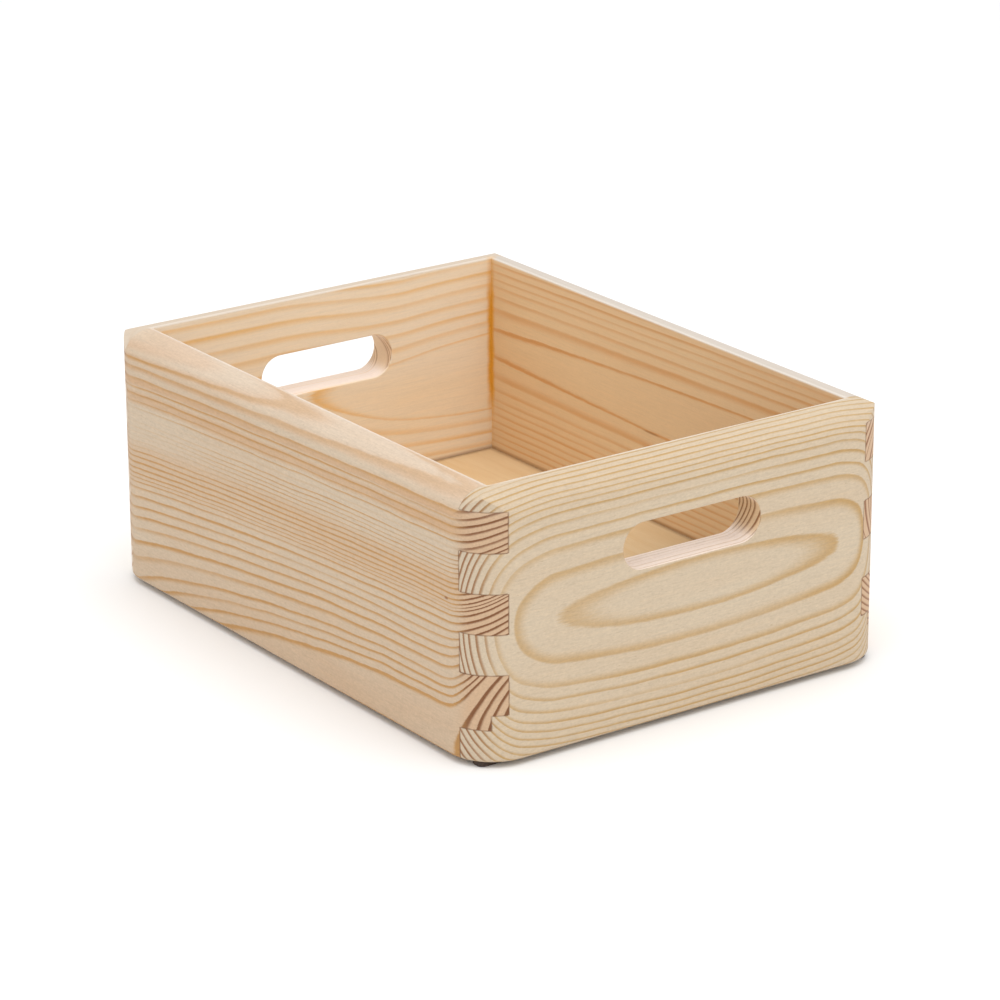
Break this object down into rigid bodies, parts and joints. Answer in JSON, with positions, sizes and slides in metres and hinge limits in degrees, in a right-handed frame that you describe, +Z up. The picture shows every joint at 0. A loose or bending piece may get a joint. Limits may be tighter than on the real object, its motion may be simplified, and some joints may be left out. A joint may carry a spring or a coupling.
{
  "type": "wooden crate",
  "caption": "Open-topped finger-jointed pine storage crate with rounded corners, a grooved-in floor panel, oval hand-holes in its ends and thin glide strips below.",
  "frame": {"origin": "centre of the crate's footprint, on the surface the crate stands on", "axes": "+X along the long sides towards the front end board, +Y towards the right side board, +Z up"},
  "size_m": [0.38, 0.284, 0.155],
  "materials": {
    "pine_side_left": "sanded, unfinished pine",
    "pine_side_right": "sanded, unfinished pine",
    "pine_end_front": "sanded, unfinished pine",
    "pine_end_rear": "sanded, unfinished pine",
    "plywood": "sanded, unfinished plywood",
    "brown_strip": "dark brown, matt",
    "pin_steel": "bright steel"
  },
  "bodies": {
    "root": {"side_board_left": "pine_side_left", "side_board_right": "pine_side_right", "end_board_front": "pine_end_front", "end_board_rear": "pine_end_rear", "floor_panel": "plywood", "glide_strip_front": "brown_strip", "glide_strip_rear": "brown_strip", "strip_pins": "pin_steel"}
  },
  "joints": []
}
